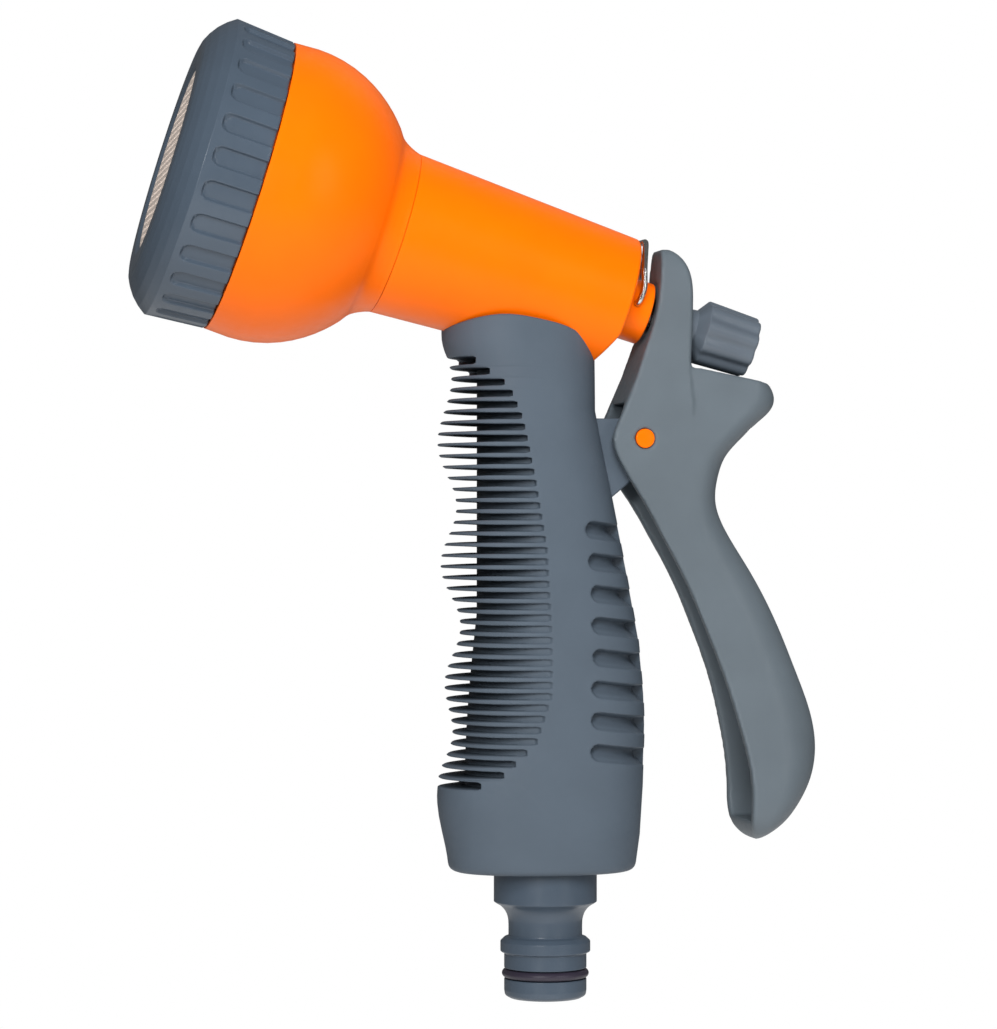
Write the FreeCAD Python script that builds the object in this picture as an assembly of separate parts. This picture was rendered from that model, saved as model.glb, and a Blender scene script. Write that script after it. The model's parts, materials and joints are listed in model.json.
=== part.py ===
import FreeCAD, Part
import math
import os

# Pistol-grip garden hose nozzle. Millimetres, +Z up.
# Origin: centre of the nipple's nose end face. -X is the spraying direction, Y = 0 is the plane of symmetry.
# The head (ring, bell, barrel, gland, stem, knob) lies on one tilted axis. Along it, s grows rearward from
# the centre of the ring's rear edge, and r is the distance from the axis.

V = FreeCAD.Vector

# ---------------------------------------------------------------- driving dimensions
HEAD_ORIGIN = V(-59.0, 0, 159.6)      # centre of the face ring's rear edge, s = 0
HEAD_TILT = 17.0                      # degrees that the head axis drops towards the rear

RING_FRONT_S = -17.0                  # front of the face ring
RING_BEVEL_S = -11.9                  # crease where the front bevel starts
RING_R_FRONT = 30.0
RING_R_REAR = 29.1
RING_LIP_R = 23.2                     # outer edge of the flat front lip
RING_OPENING_R = 18.6
RING_FLUTES = 28
THREAD_R = 27.0                       # bell spigot under the ring
FACE_GAP = 0.1                        # play between the ring, the plate and the bell

RING_FLUTE_R = 2.4
RING_FLUTE_DEPTH = 0.8

PLATE_R = 26.9
PLATE_FRONT_S = -14.0
PLATE_REAR_S = -12.9
PLATE_CROWN_R = 18.3                  # raised middle that shows through the ring's opening
PLATE_CROWN_S = -16.4
PLATE_HOLE_R = 0.45
PLATE_HOLE_RINGS = 6
PLATE_HOLE_PITCH = 2.6
DIFFUSER_S = (-5.0, -3.5)
BELL_FRONT_S = -12.0
BELL_INNER_R = 24.6
BELL_BULGE_S = 5.0                    # widest section of the bell
BELL_BULGE_R = 29.35
BELL_CURVE_LENGTH = 26.8              # long half axis of the bell's rounding
BELL_WALL = 2.4
BELL_NECK_S = 29.9
NECK_R = 16.25
SPIGOT_R = 14.2                       # barrel spigot in the bell's neck

BARREL_FRONT_S = 30.0
BARREL_REAR_S = 77.0
BARREL_R_FRONT = 16.2
BARREL_R_REAR = 13.65
CHAMBER_R = 9.3
SEAT_S = 49.0                         # valve seat, facing rearward
PORT_R = 5.0
SPIGOT_FRONT_S = 21.5
OUTLET_R = 11.5                       # widening bore from the port to the bell
OUTLET_REAR_S = 42.0
CORNER_CUT_TILT = 28.0                # cut-back of the barrel's lower rear corner
CORNER_CUT_DROP = 8.6

VALVE_HEAD_R = 8.6
VALVE_HEAD_NECK_R = 3.9
VALVE_HEAD_S = (51.8, 55.0, 57.5)     # front, shoulder that the spring pushes, rear
VALVE_WASHER_R = 8.0
VALVE_WASHER_S = (49.3, 51.8)
SCREW_R = 1.25
SCREW_HEAD_R = 2.9
SCREW_HEAD_HEIGHT = 1.6
SPRING_WIRE_R = 0.5
SPRING_COIL_R = 5.3
SPRING_TURNS = 5.5
STEM_R = 2.2
STEM_FRONT_S = 53.5
STEM_REAR_S = 101.0
STEM_CLEARANCE = 0.05
STEM_RING_S = 71.45
GLAND_FRONT_S = 68.5
GLAND_RING_S = 74.6
GLAND_BOSS_R = 6.2
GLAND_REAR_S = 82.8
BAIL_HOLE_DEPTH = 2.3

WASHER_S = (90.4, 91.2)               # thrust washer behind the lever
KNOB_FRONT_S = 91.3
KNOB_NOSE_S = 92.9
KNOB_BODY_S = 94.8
KNOB_REAR_S = 105.5
KNOB_R_FRONT = 6.5
KNOB_R_REAR = 6.1
KNOB_FLUTES = 9
KNOB_FLUTE_R = 2.0
KNOB_FLUTE_DEPTH = 0.75

PIPE_R = 8.0                          # inlet pipe inside the grip
PIPE_BORE_R = 5.0
PIPE_BOTTOM_Z = 26.2
PIPE_TOP_Z = 136.0
PIPE_RING_Z = 34.0

GRIP_BOTTOM_Z = 25.2
GRIP_FIN_BOTTOM_Z = 42.0
GRIP_FIN_TOP_Z = 126.6
FIN_PITCH = 2.18
FIN_GAP = 1.23
FIN_CORE_X = -13.6                    # bottom of the grooves at the front
FIN_CORE_CENTRE_X = 1.0               # centre of the oval core behind the grooves
FIN_END_STEP = 0.4                    # depth that is left where a groove ends on the side
POCKET_COUNT = 8
POCKET_TOP_Z = 92.5
POCKET_PITCH = 6.19
POCKET_HEIGHT = 3.3
POCKET_DEPTH = 1.3
POCKET_FRONT_X = 7.0
POCKET_TILT = 7.0                     # degrees that a pocket drops towards the rear

PIVOT = V(18.3, 0, 110.5)             # lever pivot
PIN_R = 1.9
PIN_CLEARANCE = 0.05
PIN_HALF_LENGTH = 8.95
LUG_HALF_WIDTH = 5.0
LUG_R = 4.0
LEVER_WALL = 2.4
CROWN_R = 5.0                         # rounded face in the lever's pocket that pushes the thrust washer

BAIL_WIRE_R = 0.6
BAIL_PIVOT = V(17.2, 0, 137.2)
BAIL_BEND_REACH = 1.1                 # longest run of a bend from its corner

NOSE_R = 8.15
FLANGE_R = 8.9
NECK_GROOVE_R = 7.3
COLLAR_R = 10.2
NIPPLE_TOP_Z = 38.0
INLET_BORE_R = 4.75
NIPPLE_RING_Z = 4.9                   # centre of the O-ring
NIPPLE_RING_R = 7.75                  # radius of its centre line
O_RING_WIRE_R = 0.85


# ---------------------------------------------------------------- helpers
def head_matrix():
    """Local x is the head's upward normal, local z its axis towards the rear."""
    tilt = math.radians(HEAD_TILT)
    axis = V(math.cos(tilt), 0, -math.sin(tilt))
    normal = V(math.sin(tilt), 0, math.cos(tilt))
    side = axis.cross(normal)
    o = HEAD_ORIGIN
    return FreeCAD.Matrix(normal.x, side.x, axis.x, o.x,
                          normal.y, side.y, axis.y, o.y,
                          normal.z, side.z, axis.z, o.z,
                          0, 0, 0, 1)


def on_head(shape):
    """Moves a shape drawn about the Z axis (z = s, x = up) onto the head axis."""
    placed = shape.copy()
    placed.Placement = FreeCAD.Placement(head_matrix())
    return placed


def revolve(points):
    """Solid of revolution about Z of a closed (r, z) polygon."""
    corners = [V(r, 0, z) for r, z in points]
    face = Part.Face(Part.makePolygon(corners + corners[:1]))
    return face.revolve(V(0, 0, 0), V(0, 0, 1), 360)


def revolve_edges(edges):
    face = Part.Face(Part.Wire(Part.__sortEdges__(edges)))
    return face.revolve(V(0, 0, 0), V(0, 0, 1), 360)


def tube(r_out, r_in, z_low, z_high):
    return revolve([(r_in, z_low), (r_out, z_low), (r_out, z_high), (r_in, z_high)])


def rod(radius, z_low, z_high):
    return Part.makeCylinder(radius, z_high - z_low, V(0, 0, z_low))


def torus(centre_r, wire_r, z):
    return Part.makeTorus(centre_r, wire_r, V(0, 0, z))


def spline_edge(points):
    curve = Part.BSplineCurve()
    curve.interpolate([V(*p) for p in points])
    return curve.toShape()


def line_edge(a, b):
    return Part.makeLine(V(*a), V(*b))


def slab(x_low, x_high, y_half, z_low, z_high):
    return Part.makeBox(x_high - x_low, 2 * y_half, z_high - z_low, V(x_low, -y_half, z_low))


def extrude_side(outline, y_half):
    """Closed (x, z) polygon extruded from -y_half to +y_half."""
    corners = [V(x, -y_half, z) for x, z in outline]
    face = Part.Face(Part.makePolygon(corners + corners[:1]))
    return face.extrude(V(0, 2 * y_half, 0))


def interpolate(table, z):
    """Smooth (cosine) interpolation in rows sorted by falling z; returns the other columns."""
    if z >= table[0][0]:
        return table[0][1:]
    for high, low in zip(table, table[1:]):
        if z >= low[0]:
            t = (high[0] - z) / (high[0] - low[0])
            blend = (1 - math.cos(math.pi * t)) / 2
            return tuple(a + (b - a) * blend for a, b in zip(high[1:], low[1:]))
    return table[-1][1:]


def linear(table, z):
    """Straight interpolation in rows sorted by falling z; returns the other columns."""
    if z >= table[0][0]:
        return table[0][1:]
    for high, low in zip(table, table[1:]):
        if z >= low[0]:
            t = (high[0] - z) / (high[0] - low[0])
            return tuple(a + (b - a) * t for a, b in zip(high[1:], low[1:]))
    return table[-1][1:]


# ---------------------------------------------------------------- shower head
def face_ring():
    """Screw ring with a bevelled front, an inner lip that holds the plate, and finger flutes."""
    rear = -0.15
    bevel = [(RING_R_FRONT, 0, RING_BEVEL_S), (28.8, 0, -13.5), (27.4, 0, -14.9), (25.8, 0, -16.0),
             (24.4, 0, -16.7), (RING_LIP_R, 0, RING_FRONT_S)]
    inner = THREAD_R + FACE_GAP
    lip_s = PLATE_FRONT_S - FACE_GAP
    edges = [
        line_edge((RING_R_REAR, 0, rear), bevel[0]),
        spline_edge(bevel),
        line_edge(bevel[-1], (RING_OPENING_R + 0.9, 0, RING_FRONT_S)),
        line_edge((RING_OPENING_R + 0.9, 0, RING_FRONT_S), (RING_OPENING_R, 0, RING_FRONT_S + 0.6)),
        line_edge((RING_OPENING_R, 0, RING_FRONT_S + 0.6), (RING_OPENING_R, 0, lip_s)),
        line_edge((RING_OPENING_R, 0, lip_s), (inner, 0, lip_s)),
        line_edge((inner, 0, lip_s), (inner, 0, rear)),
        line_edge((inner, 0, rear), (RING_R_REAR, 0, rear)),
    ]
    ring = revolve_edges(edges)
    along = V(RING_R_REAR - RING_R_FRONT, 0, -RING_BEVEL_S)
    centre = V(RING_R_FRONT - RING_FLUTE_DEPTH + RING_FLUTE_R, 0, RING_BEVEL_S + 2.8)
    flute = Part.makeCylinder(RING_FLUTE_R, -RING_BEVEL_S + 1, centre, along)
    flute = flute.fuse(Part.makeSphere(RING_FLUTE_R, centre))
    cutters = []
    for i in range(RING_FLUTES):
        cutter = flute.copy()
        cutter.rotate(V(0, 0, 0), V(0, 0, 1), 360.0 * i / RING_FLUTES)
        cutters.append(cutter)
    return on_head(ring.cut(Part.makeCompound(cutters)))


def spray_plate():
    """Disc with a raised middle and concentric rings of fine holes."""
    plate = rod(PLATE_R, PLATE_FRONT_S, PLATE_REAR_S).fuse(rod(PLATE_CROWN_R, PLATE_CROWN_S, PLATE_REAR_S))
    drill = rod(PLATE_HOLE_R, PLATE_CROWN_S - 1, PLATE_REAR_S + 1)
    drills = [drill]
    for ring in range(1, PLATE_HOLE_RINGS + 1):
        for i in range(6 * ring):
            angle = 2 * math.pi * i / (6 * ring)
            hole = drill.copy()
            radius = ring * PLATE_HOLE_PITCH
            hole.translate(V(radius * math.cos(angle), radius * math.sin(angle), 0))
            drills.append(hole)
    return on_head(plate.cut(Part.makeCompound(drills)))


def face_seal():
    return on_head(tube(PLATE_R, BELL_INNER_R, PLATE_REAR_S, BELL_FRONT_S - FACE_GAP))


def diffuser_disc():
    """Disc that breaks up the jet: a closed centre and two rings of slots."""
    disc = rod(BELL_INNER_R, DIFFUSER_S[0], DIFFUSER_S[1])
    drills = []
    for radius, count, hole_r in ((10.0, 8, 2.2), (18.0, 14, 2.4)):
        for i in range(count):
            angle = 2 * math.pi * i / count
            hole = rod(hole_r, DIFFUSER_S[0] - 1, DIFFUSER_S[1] + 1)
            hole.translate(V(radius * math.cos(angle), radius * math.sin(angle), 0))
            drills.append(hole)
    return on_head(disc.cut(Part.makeCompound(drills)))


def bell_radius(s):
    reach = (s - BELL_BULGE_S) / BELL_CURVE_LENGTH
    return BELL_BULGE_R * math.sqrt(max(0.0, 1 - reach * reach))


def spray_bell():
    """Thin bell from the threaded spigot under the ring to the neck on the barrel."""
    curve_s = [5, 9, 13, 16.5, 19.5, 22, 24, 25.5, 26.6]
    outer = [(bell_radius(s), 0, s) for s in curve_s] + [(NECK_R + 0.1, 0, 28.8)]
    inner = [(bell_radius(s) - BELL_WALL, 0, s) for s in curve_s]
    edges = [
        line_edge((BELL_INNER_R, 0, BELL_FRONT_S), (THREAD_R, 0, BELL_FRONT_S)),
        line_edge((THREAD_R, 0, BELL_FRONT_S), (THREAD_R, 0, 0.15)),
        line_edge((THREAD_R, 0, 0.15), (RING_R_REAR, 0, 0.15)),
        line_edge((RING_R_REAR, 0, 0.15), outer[0]),
        spline_edge(outer),
        line_edge(outer[-1], (NECK_R, 0, BELL_NECK_S)),
        line_edge((NECK_R, 0, BELL_NECK_S), (SPIGOT_R, 0, BELL_NECK_S)),
        line_edge((SPIGOT_R, 0, BELL_NECK_S), inner[-1]),
        spline_edge(inner),
        line_edge(inner[0], (BELL_INNER_R - 0.8, 0, DIFFUSER_S[1])),
        line_edge((BELL_INNER_R - 0.8, 0, DIFFUSER_S[1]), (BELL_INNER_R, 0, DIFFUSER_S[1])),
        line_edge((BELL_INNER_R, 0, DIFFUSER_S[1]), (BELL_INNER_R, 0, BELL_FRONT_S)),
    ]
    return on_head(revolve_edges(edges))


# ---------------------------------------------------------------- valve body
def barrel_outside():
    """Tapered barrel, its rear edge slightly rounded and its lower rear corner cut back."""
    cone = revolve([(0, BARREL_FRONT_S), (BARREL_R_FRONT, BARREL_FRONT_S),
                    (BARREL_R_REAR, BARREL_REAR_S), (0, BARREL_REAR_S)])
    rear = [e for e in cone.Edges if e.BoundBox.ZMin > BARREL_REAR_S - 0.01 and e.BoundBox.XMax > 5]
    cone = cone.makeFillet(0.6, rear)
    corner = Part.makeBox(20, 60, 20, V(-20, -30, 0))
    corner.rotate(V(0, 0, 0), V(0, 1, 0), -CORNER_CUT_TILT)
    corner.translate(V(-CORNER_CUT_DROP, 0, BARREL_REAR_S + 0.3))
    return on_head(cone.cut(corner))


def barrel():
    """Valve body: tapered barrel, inlet pipe, valve chamber and seat in one moulding."""
    spigot = on_head(rod(SPIGOT_R, SPIGOT_FRONT_S, BARREL_FRONT_S + 1))
    pipe = rod(PIPE_R, PIPE_BOTTOM_Z, PIPE_TOP_Z)
    body = barrel_outside().fuse([spigot, pipe])
    hollow = on_head(rod(CHAMBER_R, SEAT_S, BARREL_REAR_S + 2))
    port = on_head(rod(PORT_R, SEAT_S - 4, SEAT_S + 1))
    outlet_front = SPIGOT_FRONT_S - 1
    outlet = on_head(revolve([(0, outlet_front), (OUTLET_R, outlet_front), (OUTLET_R, OUTLET_REAR_S),
                              (PORT_R, OUTLET_REAR_S + 4), (0, OUTLET_REAR_S + 4)]))
    inlet = rod(PIPE_BORE_R, PIPE_BOTTOM_Z - 1, PIPE_TOP_Z + 1)
    ring_groove = tube(PIPE_R + 1, PIPE_R - 1.1, PIPE_RING_Z - 1.1, PIPE_RING_Z + 1.1)
    return body.cut([hollow, port, outlet, inlet, ring_groove]).removeSplitter()


def pipe_o_ring():
    return torus(PIPE_R - 0.55, 0.54, PIPE_RING_Z)


def gland_nut():
    """Plug that closes the chamber, with a boss that carries the lock bail."""
    plug = rod(CHAMBER_R, GLAND_FRONT_S, BARREL_REAR_S - 0.1)
    boss = rod(GLAND_BOSS_R, BARREL_REAR_S - 1, GLAND_REAR_S)
    boss_end = [e for e in boss.Edges if e.BoundBox.ZMin > GLAND_REAR_S - 0.01]
    boss = boss.makeFillet(0.4, boss_end)
    bore = rod(STEM_R + STEM_CLEARANCE, GLAND_FRONT_S - 1, GLAND_REAR_S + 1)
    stem_groove = rod(3.9, STEM_RING_S - 0.95, STEM_RING_S + 0.95)
    ring_groove = tube(CHAMBER_R + 1, CHAMBER_R - 1.3, GLAND_RING_S - 0.75, GLAND_RING_S + 0.75)
    nut = on_head(plug.fuse(boss).cut([bore, stem_groove, ring_groove]))
    for side in (-1, 1):
        start = V(BAIL_PIVOT.x, side * (GLAND_BOSS_R + 1), BAIL_PIVOT.z)
        hole = Part.makeCylinder(BAIL_WIRE_R + 0.05, BAIL_HOLE_DEPTH + 1, start, V(0, -side, 0))
        nut = nut.cut(hole)
    return nut


def gland_o_ring():
    return on_head(torus(CHAMBER_R - 0.65, 0.64, GLAND_RING_S))


def stem_o_ring():
    return on_head(torus(STEM_R + 0.85, 0.79, STEM_RING_S))


# ---------------------------------------------------------------- valve
def valve_stem():
    """Rod from the valve head to the knob, tapped for the head screw."""
    stem = rod(STEM_R, STEM_FRONT_S, STEM_REAR_S)
    tip = [e for e in stem.Edges if e.BoundBox.ZMin > STEM_REAR_S - 0.01]
    stem = stem.makeChamfer(0.4, tip)
    tap = rod(SCREW_R, STEM_FRONT_S - 1, STEM_FRONT_S + 8)
    return on_head(stem.cut(tap))


def valve_head():
    """Cup that carries the rubber washer and the front end of the spring."""
    front, shoulder, rear = VALVE_HEAD_S
    cup = revolve([(0, front), (VALVE_HEAD_R, front), (VALVE_HEAD_R, shoulder),
                   (VALVE_HEAD_NECK_R, shoulder), (VALVE_HEAD_NECK_R, rear), (0, rear)])
    bore = rod(STEM_R, STEM_FRONT_S, rear + 1)
    screw_way = rod(SCREW_R, front - 1, STEM_FRONT_S + 1)
    return on_head(cup.cut([bore, screw_way]))


def valve_washer():
    return on_head(tube(VALVE_WASHER_R, SCREW_R, *VALVE_WASHER_S))


def head_screw():
    """Slotted flat-headed screw that clamps the washer."""
    under_head = VALVE_WASHER_S[0]
    head = rod(SCREW_HEAD_R, under_head - SCREW_HEAD_HEIGHT, under_head)
    shank = rod(SCREW_R, under_head - 1, STEM_FRONT_S + 7)
    slot = Part.makeBox(8, 0.7, 0.8, V(-4, -0.35, under_head - SCREW_HEAD_HEIGHT - 0.1))
    return on_head(head.fuse(shank).cut(slot))


def return_spring():
    """Helical spring between the valve head and the gland nut."""
    low = VALVE_HEAD_S[1] + SPRING_WIRE_R
    high = GLAND_FRONT_S - SPRING_WIRE_R
    helix = Part.makeHelix((high - low) / SPRING_TURNS, high - low, SPRING_COIL_R)
    helix.translate(V(0, 0, low))
    section = Part.Wire(Part.makeCircle(SPRING_WIRE_R, V(SPRING_COIL_R, 0, low), V(0, 1, 0)))
    coil = Part.Wire(helix).makePipeShell([section], True, True)
    return on_head(coil)


# ---------------------------------------------------------------- flow knob
def thrust_washer():
    return on_head(tube(4.0, STEM_R + STEM_CLEARANCE, *WASHER_S))


def flow_knob():
    """Fluted knob with a narrow nose, screwed on the stem."""
    profile = [(0, KNOB_FRONT_S), (3.9, KNOB_FRONT_S), (4.0, KNOB_NOSE_S), (KNOB_R_FRONT, KNOB_BODY_S),
               (KNOB_R_REAR, KNOB_REAR_S - 0.8), (KNOB_R_REAR - 0.8, KNOB_REAR_S), (0, KNOB_REAR_S)]
    knob = revolve(profile)
    bore = rod(STEM_R + STEM_CLEARANCE, KNOB_FRONT_S - 1, STEM_REAR_S + 1)
    flutes = []
    for i in range(KNOB_FLUTES):
        flute = rod(KNOB_FLUTE_R, KNOB_BODY_S - 2.5, KNOB_REAR_S + 1)
        flute.translate(V(KNOB_R_FRONT + KNOB_FLUTE_R - KNOB_FLUTE_DEPTH, 0, 0))
        flute.rotate(V(0, 0, 0), V(0, 0, 1), 360.0 * (i + 0.5) / KNOB_FLUTES)
        flutes.append(flute)
    return on_head(knob.cut([bore] + flutes))


# ---------------------------------------------------------------- lock bail
def lock_bail():
    """Bent wire: both ends in the gland's holes, the far leg leaning a little further back."""
    hole_x, hole_z = BAIL_PIVOT.x, BAIL_PIVOT.z
    end_y = GLAND_BOSS_R - BAIL_HOLE_DEPTH + 0.4
    leg_y = GLAND_BOSS_R + 1.4
    route = [V(hole_x, -end_y, hole_z), V(hole_x, -leg_y, hole_z), V(18.4, -leg_y, 140.0), V(18.5, -7.1, 144.4),
             V(19.3, -4.9, 149.4), V(19.6, 3.2, 149.6), V(21.0, 7.1, 144.6), V(20.2, leg_y, 140.6),
             V(hole_x, leg_y, hole_z), V(hole_x, end_y, hole_z)]
    edges = []
    start = route[0]
    for before, corner, after in zip(route, route[1:], route[2:]):
        into = (corner - before).normalize()
        out = (after - corner).normalize()
        turn = into.getAngle(out)
        reach = min(0.45 * (corner - before).Length, 0.45 * (after - corner).Length, BAIL_BEND_REACH)
        arc_start = corner - into * reach
        arc_end = corner + out * reach
        bulge = (arc_start + arc_end) * 0.5
        radius = reach / math.tan(turn / 2)
        toward = (corner - bulge).normalize()
        middle = corner - toward * (radius / math.cos(turn / 2) - radius)
        edges.append(Part.makeLine(start, arc_start))
        edges.append(Part.Arc(arc_start, middle, arc_end).toShape())
        start = arc_end
    edges.append(Part.makeLine(start, route[-1]))
    path = Part.Wire(edges)
    section = Part.Wire(Part.makeCircle(BAIL_WIRE_R, route[0], V(0, 1, 0)))
    return path.makePipeShell([section], True, False, 2)


# ---------------------------------------------------------------- grip
# Front of the grip at its crests and troughs: z, x.
FRONT_WAVE = [(136, -20.6), (131, -20.6), (122.5, -18.6), (109.6, -21.4), (97.0, -17.6), (85.6, -20.8),
              (73.5, -16.8), (62.0, -20.0), (52.5, -18.4), (41.9, -21.4), (40.0, -21.5), (24.5, -19.2)]
# Back edge and half width of the grip: z, x, half width.
REAR_EDGE = [(136, 9.4, 13.3), (116, 9.6, 13.6), (99.2, 13.0, 13.9), (84.9, 15.9, 14.2), (70.6, 18.5, 14.5),
             (60, 19.5, 14.7), (53.9, 19.7, 14.8), (41.9, 19.3, 14.9), (32.4, 18.7, 14.6), (24.5, 17.6, 14.0)]
# Where the front grooves run out on the sides: z, x.
GROOVE_END = [(126.6, -16.5), (124.7, -14.6), (120.4, -9.4), (113.9, -6.9), (101.5, -4.3), (88.5, -2.1),
              (71.2, -1.2), (60.5, -1.2), (51.2, -4.3), (44.5, -11.1), (42.0, -16.5)]

# Top edge of the grip against the barrel, front to rear: x, z.
SADDLE = [(-20.6, 131.9), (-15.1, 133.8), (-9.5, 134.5), (-3.1, 133.6), (3.0, 132.0), (6.8, 129.6),
          (9.6, 125.2)]


def grip_section(z, inset=0.0):
    """Oval section of the grip at height z: fuller than an ellipse at the sides."""
    front = interpolate(FRONT_WAVE, z)[0] + inset
    rear, half = linear(REAR_EDGE, z)
    rear -= inset
    half -= inset
    centre = 0.45 * front + 0.55 * rear - 0.8
    points = []
    steps = 20
    power = 0.88
    for i in range(steps):
        angle = 2 * math.pi * i / steps
        c, s = math.cos(angle), math.sin(angle)
        reach = rear - centre if c > 0 else centre - front
        x = centre + reach * math.copysign(abs(c) ** power, c)
        y = half * math.copysign(abs(s) ** power, s)
        points.append(V(x, y, z))
    curve = Part.BSplineCurve()
    curve.interpolate(points, PeriodicFlag=True)
    return Part.Wire(curve.toShape())


def grip_outside(inset=0.0):
    heights = [136, 131, 127, 122.5, 118, 114, 109.6, 105.5, 101, 97, 93.5, 89.5, 85.6, 81.5, 77.5, 73.5,
               69.5, 65.5, 62, 57.5, 52.5, 47.5, 42]
    sections = [grip_section(z, inset) for z in heights]
    upper = Part.makeLoft(sections, True, False)
    skirt = Part.makeLoft([grip_section(z, inset) for z in (42, 40, 33, 28.5, GRIP_BOTTOM_Z)], True, False)
    return upper, skirt


def groove_cutter(z):
    """One front groove: a slab cut back to the grip's oval core, stopping short on the sides."""
    end_x = linear(GROOVE_END, z)[0]
    half = linear(REAR_EDGE, z)[1] - FIN_END_STEP
    block = slab(-30, end_x, 20, z - FIN_GAP / 2, z + FIN_GAP / 2)
    core_x = FIN_CORE_X if z > 76 else FIN_CORE_X - 2.4 * math.sin((76 - z) / 34 * math.pi / 2)
    long_half = FIN_CORE_CENTRE_X - core_x
    core = Part.makeCylinder(1.0, FIN_GAP + 2, V(0, 0, -FIN_GAP / 2 - 1))
    stretch = FreeCAD.Matrix(long_half, 0, 0, FIN_CORE_CENTRE_X, 0, half, 0, 0, 0, 0, 1, z, 0, 0, 0, 1)
    return block.cut(core.transformGeometry(stretch))


def pocket_cutter(z, inner):
    """A round-ended pocket that wraps the grip's rear corner, on both sides of a plain spine."""
    r = POCKET_HEIGHT / 2
    front = Part.makeCylinder(r, 40, V(POCKET_FRONT_X + r, -20, z), V(0, 1, 0))
    body = front.fuse(slab(POCKET_FRONT_X + r, 30, 20, z - r, z + r))
    body.rotate(V(POCKET_FRONT_X + r, 0, z), V(0, 1, 0), POCKET_TILT)
    spine = slab(0, 40, 2.4, z - 8, z + 5)
    return body.cut([inner, spine])


def grip_sleeve():
    """Moulded grip over the inlet pipe: fins in front, pockets behind, skirt below and the lever's lug."""
    upper, skirt = grip_outside()
    bottom_edge = [e for e in skirt.Edges if e.BoundBox.ZMax < GRIP_BOTTOM_Z + 0.01]
    skirt = skirt.makeFillet(1.6, bottom_edge)
    # The top follows an arc that saddles the barrel.
    crest = [(x, -25, z) for x, z in SADDLE]
    outline = [crest[-1], (30, -25, 120), (30, -25, 150), (-35, -25, 150), (-35, -25, 130), crest[0]]
    top_edges = [spline_edge(crest)] + [line_edge(a, b) for a, b in zip(outline, outline[1:])]
    above = Part.Face(Part.Wire(top_edges)).extrude(V(0, 50, 0))
    inner = grip_outside(POCKET_DEPTH)[0]
    body = upper.cut(above)
    count = int(round((GRIP_FIN_TOP_Z - GRIP_FIN_BOTTOM_Z) / FIN_PITCH))
    grooves = [groove_cutter(GRIP_FIN_BOTTOM_Z + FIN_GAP / 2 + i * FIN_PITCH) for i in range(count)]
    pockets = [pocket_cutter(POCKET_TOP_Z - i * POCKET_PITCH, inner) for i in range(POCKET_COUNT)]
    body = body.cut(grooves + pockets)
    body = body.fuse([skirt, lever_lug()])
    pipe_way = rod(PIPE_R, GRIP_BOTTOM_Z - 1, PIPE_TOP_Z + 1)
    nipple_way = rod(COLLAR_R + 0.05, GRIP_BOTTOM_Z - 1, NIPPLE_TOP_Z + 0.1)
    lightening = Part.makeCylinder(10.6, 46, V(1.0, 0, 45))
    return body.cut([barrel_outside(), pipe_way, nipple_way, lightening])


def lever_lug():
    """Lug on the grip's rear that holds the pivot pin."""
    outline = [(4, 114.5), (PIVOT.x, 114.5), (22.3, 110.5), (21.4, 107.8), (15.5, 101.4), (12.1, 99.0),
               (4, 99.0)]
    lug = extrude_side(outline, LUG_HALF_WIDTH)
    knuckle = Part.makeCylinder(LUG_R, 2 * LUG_HALF_WIDTH, V(PIVOT.x, -LUG_HALF_WIDTH, PIVOT.z), V(0, 1, 0))
    lug = lug.fuse(knuckle)
    hole = Part.makeCylinder(PIN_R, 40, V(PIVOT.x, -20, PIVOT.z), V(0, 1, 0))
    return lug.cut(hole)


def pivot_pin():
    pin = Part.makeCylinder(PIN_R, 2 * PIN_HALF_LENGTH, V(PIVOT.x, -PIN_HALF_LENGTH, PIVOT.z), V(0, 1, 0))
    ends = [e for e in pin.Edges if e.BoundBox.YLength < 0.01]
    return pin.makeChamfer(0.2, ends)


# ---------------------------------------------------------------- trigger lever
# Handle with the spur: z, front x, x where the cheek starts to round, back x, half width.
HANDLE = [(124.5, 17.5, 41.3, 44.4, 6.9), (121.4, 16.3, 41.0, 45.3, 7.15), (118.6, 15.1, 40.2, 46.5, 7.4),
          (116.6, 14.3, 38.5, 45.9, 7.7), (114.0, 13.2, 35.6, 43.2, 8.2),
          (110.5, 12.0, 32.6, 39.4, 8.8), (107.0, 12.9, 30.4, 36.3, 8.6), (103.0, 15.2, 29.2, 34.8, 8.2),
          (98.0, 18.5, 28.6, 34.4, 7.5), (91.0, 22.5, 30.4, 37.3, 6.9), (85.0, 25.8, 33.3, 41.1, 6.75),
          (78.5, 28.9, 36.6, 44.8, 6.8), (71.7, 31.7, 39.6, 48.0, 7.0), (64.0, 34.6, 42.5, 51.1, 7.6),
          (55.4, 37.1, 44.8, 54.1, 8.9), (49.6, 38.5, 45.4, 54.9, 10.0), (42.4, 39.6, 45.0, 53.6, 11.1),
          (37.2, 39.7, 43.9, 50.7, 10.9), (34.2, 40.0, 42.9, 48.2, 9.6), (32.3, 40.7, 42.4, 45.8, 7.4),
          (31.2, 41.6, 42.2, 44.1, 4.6), (30.8, 42.2, 42.4, 43.2, 2.6)]
# Head column: z, front x, x where the back edge starts to round, back x, half width.
HEAD = [(148.1, 22.8, 23.9, 24.9, 3.4), (146.6, 22.5, 25.8, 27.2, 4.7), (144.2, 22.4, 27.4, 28.7, 5.3),
        (140.6, 22.1, 28.2, 29.4, 5.7), (137.0, 21.6, 28.2, 29.4, 6.0), (132.6, 20.4, 28.0, 29.2, 6.5),
        (128.2, 18.8, 27.7, 28.9, 7.0), (122.4, 16.8, 27.6, 28.8, 7.6), (116.6, 14.5, 28.0, 29.4, 8.2),
        (112.5, 13.4, 28.6, 30.2, 8.5)]
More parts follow.
